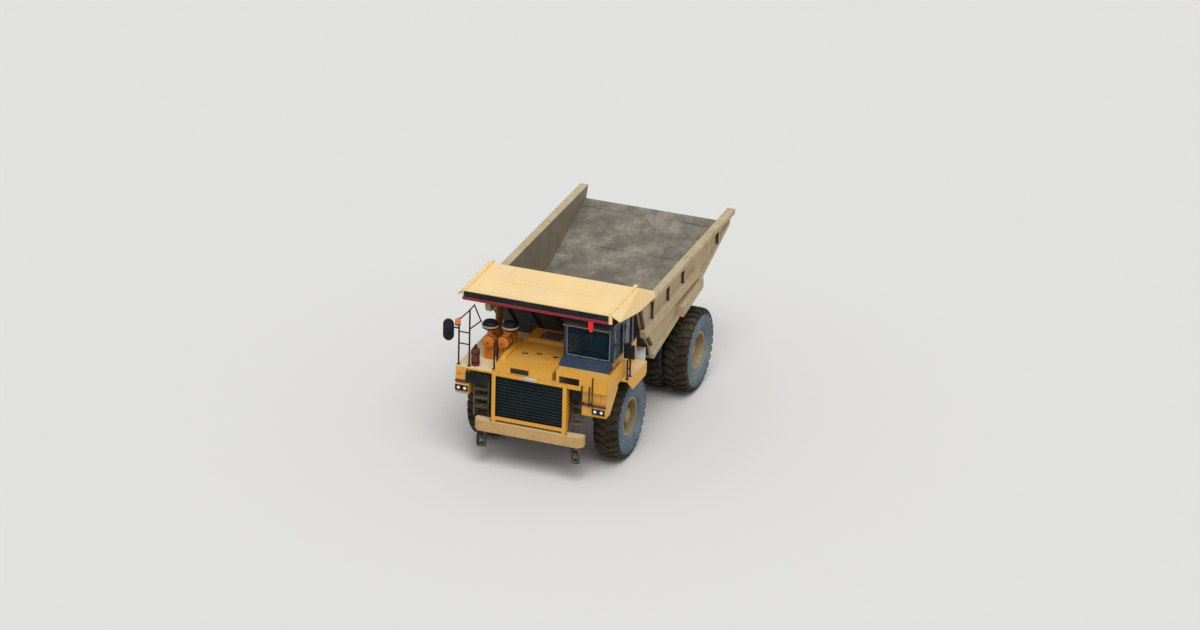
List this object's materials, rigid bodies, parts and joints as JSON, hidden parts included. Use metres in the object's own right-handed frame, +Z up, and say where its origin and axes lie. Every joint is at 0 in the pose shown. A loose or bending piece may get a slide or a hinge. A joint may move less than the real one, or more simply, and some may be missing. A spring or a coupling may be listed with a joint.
{
  "type": "rigid mining dump truck",
  "caption": "Rigid off-highway dump truck with a tipping bed, canopy over the cab, steered front wheels and twin rear wheels.",
  "frame": {"origin": "on the ground, at the middle of the truck's box", "axes": "+X to the truck's left, the front faces -Y, +Z up"},
  "size_m": [4.514, 8.796, 4.326],
  "materials": {
    "chassis_paint": "dusty yellow paint on the frame and tanks",
    "bumper_paint": "sandy yellow paint, scuffed",
    "engine_iron": "oily cast iron",
    "grille_paint": "dark louvres in a yellow frame",
    "hood_paint": "golden yellow paint with dust",
    "fender_paint": "golden yellow paint with dust",
    "cab_paint": "golden yellow paint, dark pillars",
    "cab_glass": "tinted safety glass",
    "cab_trim": "dark trim",
    "air_cleaner_paint": "orange canisters with dark caps",
    "exhaust_steel": "heat-stained steel",
    "step_steel": "dark paint, worn treads",
    "mirror_plastic": "black housing",
    "lamp_lens": "clear ribbed lens",
    "extinguisher_paint": "red brown paint",
    "box_paint": "pale grey paint",
    "axle_iron": "dusty cast iron",
    "tyre_rubber": "dusty rubber with steel-blue sidewalls",
    "rim_paint": "cream paint with mud",
    "bed_liner": "floor worn bare by rock",
    "bed_paint": "beige dust over yellow paint",
    "canopy_paint": "sun-bleached pale yellow",
    "polished_steel": "polished rod"
  },
  "bodies": {
    "chassis": {"frame_rails": "chassis_paint", "bumper": "bumper_paint", "engine_block": "engine_iron", "grille": "grille_paint", "hood": "hood_paint", "fender_right": "fender_paint", "fender_left": "fender_paint", "bulkhead": "fender_paint", "cab_shell": "cab_paint", "cab_roof": "cab_paint", "cab_glass": "cab_glass", "cab_interior": "cab_trim", "air_cleaners": "air_cleaner_paint", "exhaust": "exhaust_steel", "ladders": "step_steel", "handrails": "step_steel", "mirrors": "mirror_plastic", "lamps": "lamp_lens", "extinguisher": "extinguisher_paint", "tanks": "chassis_paint", "hoist_pins": "chassis_paint", "side_box": "box_paint", "struts": "axle_iron", "rear_axle": "axle_iron"},
    "knuckle_left": {"knuckle_left": "axle_iron"},
    "knuckle_right": {"knuckle_right": "axle_iron"},
    "tie_rod": {"tie_rod": "axle_iron"},
    "wheel_front_left": {"tyre_front_left": "tyre_rubber", "rim_front_left": "rim_paint"},
    "wheel_front_right": {"tyre_front_right": "tyre_rubber", "rim_front_right": "rim_paint"},
    "wheel_rear_left": {"tyres_rear_left": "tyre_rubber", "rim_rear_left": "rim_paint"},
    "wheel_rear_right": {"tyres_rear_right": "tyre_rubber", "rim_rear_right": "rim_paint"},
    "bed": {"bed_floor": "bed_liner", "bed_stringers": "bed_paint", "bed_headboard": "bed_paint", "bed_side_left": "bed_paint", "bed_side_right": "bed_paint", "bed_canopy": "canopy_paint"},
    "cab_door": {"cab_door": "cab_paint"},
    "hoist_barrels": {"hoist_barrels": "chassis_paint"},
    "hoist_sleeves": {"hoist_sleeves": "polished_steel"},
    "hoist_rods": {"hoist_rods": "polished_steel"}
  },
  "joints": [
    {"name": "steer_left", "type": "hinge", "parent": "chassis", "child": "knuckle_left", "pos_m": [1.08, -2.4545, 1.05], "axis": [0, 0, 1], "range_deg": [-31, 31]},
    {"name": "steer_right", "type": "hinge", "parent": "chassis", "child": "knuckle_right", "pos_m": [-1.08, -2.4545, 1.05], "axis": [0, 0, 1], "range_deg": [-31.5, 31.5]},
    {"name": "tie_rod_left_end", "type": "hinge", "parent": "knuckle_left", "child": "tie_rod", "pos_m": [1.08, -2.1245, 0.77], "axis": [0, 0, 1], "range_deg": [-31.5, 31.5]},
    {"name": "spin_front_left", "type": "hinge", "parent": "knuckle_left", "child": "wheel_front_left", "pos_m": [1.604, -2.4545, 1.05], "axis": [1, 0, 0], "continuous": true},
    {"name": "spin_front_right", "type": "hinge", "parent": "knuckle_right", "child": "wheel_front_right", "pos_m": [-1.604, -2.4545, 1.05], "axis": [1, 0, 0], "continuous": true},
    {"name": "spin_rear_left", "type": "hinge", "parent": "chassis", "child": "wheel_rear_left", "pos_m": [1.469, 1.7365, 1.05], "axis": [1, 0, 0], "continuous": true},
    {"name": "spin_rear_right", "type": "hinge", "parent": "chassis", "child": "wheel_rear_right", "pos_m": [-1.469, 1.7365, 1.05], "axis": [1, 0, 0], "continuous": true},
    {"name": "bed_lift", "type": "hinge", "parent": "chassis", "child": "bed", "pos_m": [0, 2.5455, 1.64], "axis": [-1, 0, 0], "range_deg": [0, 55]},
    {"name": "hoist_swing", "type": "hinge", "parent": "chassis", "child": "hoist_barrels", "pos_m": [0, 0.2455, 0.72], "axis": [-1, 0, 0], "range_deg": [0, 27]},
    {"name": "hoist_first_stage", "type": "slide", "parent": "hoist_barrels", "child": "hoist_sleeves", "axis": [0, -0.0728, 0.9973], "range_m": [0, 1.045]},
    {"name": "hoist_second_stage", "type": "slide", "parent": "hoist_sleeves", "child": "hoist_rods", "axis": [0, -0.0728, 0.9973], "range_m": [0, 1.045]},
    {"name": "cab_door_hinge", "type": "hinge", "parent": "chassis", "child": "cab_door", "pos_m": [1.884, -3.0145, 3.15], "axis": [0, 0, -1], "range_deg": [0, 85]}
  ],
  "couplings": [
    {"joint": "steer_right", "follows": "steer_left", "ratio": 1},
    {"joint": "tie_rod_left_end", "follows": "steer_left", "ratio": -1},
    {"joint": "hoist_swing", "follows": "bed_lift", "ratio": 0.48058},
    {"joint": "hoist_first_stage", "follows": "bed_lift", "m_per_rad": 1.0798},
    {"joint": "hoist_second_stage", "follows": "bed_lift", "m_per_rad": 1.0798}
  ]
}
